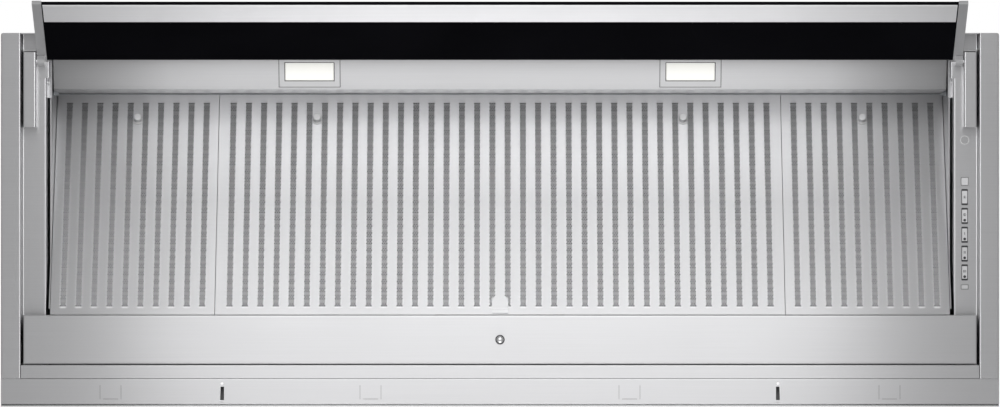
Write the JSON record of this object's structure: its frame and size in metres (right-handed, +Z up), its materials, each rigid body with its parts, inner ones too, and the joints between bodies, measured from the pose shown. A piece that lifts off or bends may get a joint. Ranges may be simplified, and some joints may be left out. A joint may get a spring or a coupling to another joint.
{
  "type": "range hood insert",
  "caption": "Built-in range hood insert: steel frame with flanges, folding glass visor, slotted grease filters, lit panel, push buttons, inner blower and top duct collar.",
  "frame": {"origin": "centre of the cabinet opening that the frame hangs in, on the underside of the flange", "axes": "+Z up towards the duct, -Y to the front where the visor opens, +X to the side with the buttons"},
  "size_m": [1.198, 0.4844, 0.4389],
  "materials": {
    "stainless_steel": "brushed",
    "galvanised_steel": "spangled zinc",
    "bright_steel": "polished",
    "mesh_aluminium": "woven mesh",
    "cast_aluminium": "as cast",
    "black_glass": "gloss",
    "frosted_lens": "frosted",
    "silver_plastic": "silver lacquer",
    "dark_plastic": "moulded",
    "board": "lacquered",
    "motor_paint": "satin"
  },
  "bodies": {
    "hood_body": {"side_rail_left": "stainless_steel", "side_rail_right": "stainless_steel", "front_rail": "stainless_steel", "rear_rail": "stainless_steel", "rear_flange": "stainless_steel", "rear_cover_panel": "stainless_steel", "cover_screw": "bright_steel", "electronics_tray": "galvanised_steel", "control_box": "dark_plastic", "cable_gland": "dark_plastic", "side_wall_left": "galvanised_steel", "side_wall_right": "galvanised_steel", "front_wall": "galvanised_steel", "rear_wall": "galvanised_steel", "top_plate": "galvanised_steel", "blower_box": "galvanised_steel", "duct_collar": "galvanised_steel", "damper_axle": "bright_steel", "light_panel": "stainless_steel", "lamp_bezels": "stainless_steel", "lamp_lenses": "frosted_lens", "lamp_housings": "cast_aluminium", "hinge_box_left": "stainless_steel", "hinge_box_right": "stainless_steel", "hinge_brackets": "stainless_steel", "filter_ledge_left": "galvanised_steel", "filter_ledge_right": "galvanised_steel", "filter_ledge_front": "galvanised_steel", "control_carrier": "dark_plastic", "control_board": "board", "indicator_windows": "silver_plastic", "channel_plug": "stainless_steel", "scroll_housing": "dark_plastic", "blower_motor": "motor_paint", "motor_bracket": "galvanised_steel", "hanging_brackets": "galvanised_steel", "body_screws": "bright_steel"},
    "visor": {"visor_glass": "black_glass", "visor_grip_strip": "stainless_steel", "visor_arm_left": "stainless_steel", "visor_arm_right": "stainless_steel", "hinge_pins": "bright_steel"},
    "left_filter": {"left_filter_cover": "stainless_steel", "left_filter_mesh": "mesh_aluminium", "left_filter_grip": "bright_steel"},
    "centre_filter": {"centre_filter_cover": "stainless_steel", "centre_filter_mesh": "mesh_aluminium", "centre_filter_grips": "bright_steel", "centre_filter_tab": "stainless_steel"},
    "right_filter": {"right_filter_cover": "stainless_steel", "right_filter_mesh": "mesh_aluminium", "right_filter_grip": "bright_steel"},
    "light_button": {"button_light": "silver_plastic"},
    "off_button": {"button_off": "silver_plastic"},
    "speed_1_button": {"button_speed_1": "silver_plastic"},
    "speed_2_button": {"button_speed_2": "silver_plastic"},
    "speed_3_button": {"button_speed_3": "silver_plastic"},
    "fan": {"impeller": "dark_plastic"},
    "front_flap": {"damper_flap_front": "galvanised_steel"},
    "rear_flap": {"damper_flap_rear": "galvanised_steel"}
  },
  "joints": [
    {"name": "visor_hinge", "type": "hinge", "parent": "hood_body", "child": "visor", "pos_m": [0, -0.1893, 0.01], "axis": [1, 0, 0], "range_deg": [0, 120]},
    {"name": "left_filter_drop", "type": "slide", "parent": "hood_body", "child": "left_filter", "axis": [0, 0, -1], "range_m": [0, 0.09]},
    {"name": "centre_filter_drop", "type": "slide", "parent": "hood_body", "child": "centre_filter", "axis": [0, 0, -1], "range_m": [0, 0.09]},
    {"name": "right_filter_drop", "type": "slide", "parent": "hood_body", "child": "right_filter", "axis": [0, 0, -1], "range_m": [0, 0.09]},
    {"name": "light_press", "type": "slide", "parent": "hood_body", "child": "light_button", "axis": [0, 0, 1], "range_m": [0, 0.0015], "stiffness_N_per_m": 800, "springref_m": -0.001},
    {"name": "off_press", "type": "slide", "parent": "hood_body", "child": "off_button", "axis": [0, 0, 1], "range_m": [0, 0.0015], "stiffness_N_per_m": 800, "springref_m": -0.001},
    {"name": "speed_1_press", "type": "slide", "parent": "hood_body", "child": "speed_1_button", "axis": [0, 0, 1], "range_m": [0, 0.0015], "stiffness_N_per_m": 800, "springref_m": -0.001},
    {"name": "speed_2_press", "type": "slide", "parent": "hood_body", "child": "speed_2_button", "axis": [0, 0, 1], "range_m": [0, 0.0015], "stiffness_N_per_m": 800, "springref_m": -0.001},
    {"name": "speed_3_press", "type": "slide", "parent": "hood_body", "child": "speed_3_button", "axis": [0, 0, 1], "range_m": [0, 0.0015], "stiffness_N_per_m": 800, "springref_m": -0.001},
    {"name": "fan_spin", "type": "hinge", "parent": "hood_body", "child": "fan", "pos_m": [0, 0.04404, 0.192], "axis": [1, 0, 0], "continuous": true},
    {"name": "front_flap_swing", "type": "hinge", "parent": "hood_body", "child": "front_flap", "pos_m": [0, 0, 0.3172], "axis": [-1, 0, 0], "range_deg": [0, 75]},
    {"name": "rear_flap_swing", "type": "hinge", "parent": "hood_body", "child": "rear_flap", "pos_m": [0, 0, 0.3172], "axis": [1, 0, 0], "range_deg": [0, 75]}
  ]
}
